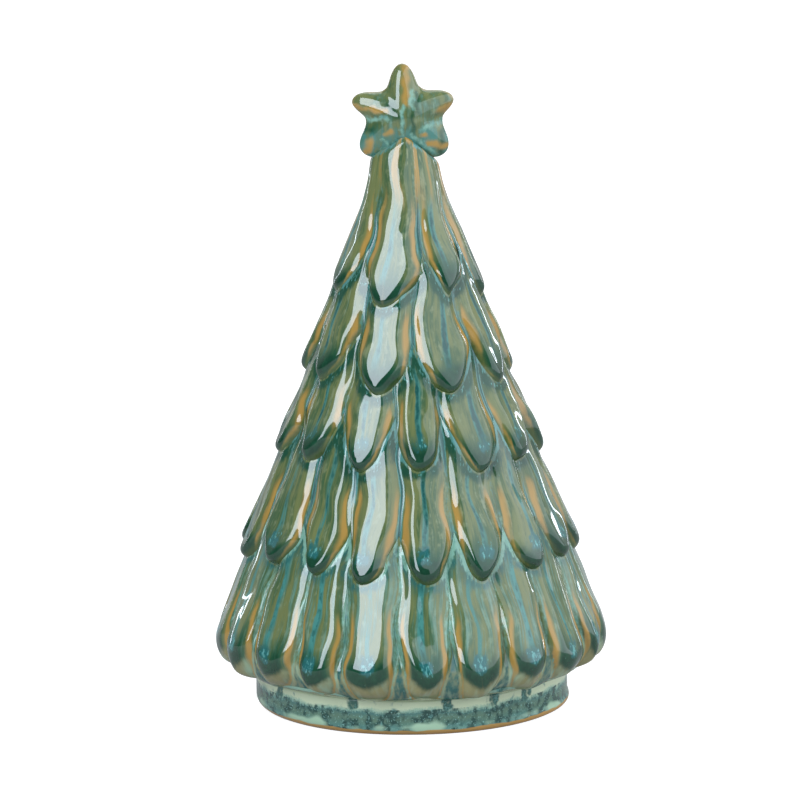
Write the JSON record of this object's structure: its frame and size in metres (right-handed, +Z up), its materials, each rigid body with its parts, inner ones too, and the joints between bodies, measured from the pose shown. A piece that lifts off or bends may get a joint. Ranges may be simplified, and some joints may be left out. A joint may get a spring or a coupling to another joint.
{
  "type": "ceramic christmas tree",
  "caption": "Free-standing stoneware Christmas tree: a hollow cone on a foot ring, clad in rows of lapped ribbed boughs under a reactive green glaze, with a star on top.",
  "frame": {"origin": "on the table, under the middle of the foot ring", "axes": "+Z up along the tree's axis, -Y towards the pictured front, +X to the viewer's right"},
  "size_m": [0.1102, 0.1104, 0.178],
  "materials": {
    "bough_glaze": "glossy",
    "star_glaze": "glossy",
    "foot_glaze": "glossy",
    "bare_stoneware": "matte"
  },
  "bodies": {
    "root": {"foot_ring": "foot_glaze", "body_shell": "bare_stoneware", "bough_row_1": "bough_glaze", "bough_row_2": "bough_glaze", "bough_row_3": "bough_glaze", "bough_row_4": "bough_glaze", "bough_row_5": "bough_glaze", "star": "star_glaze"}
  },
  "joints": []
}
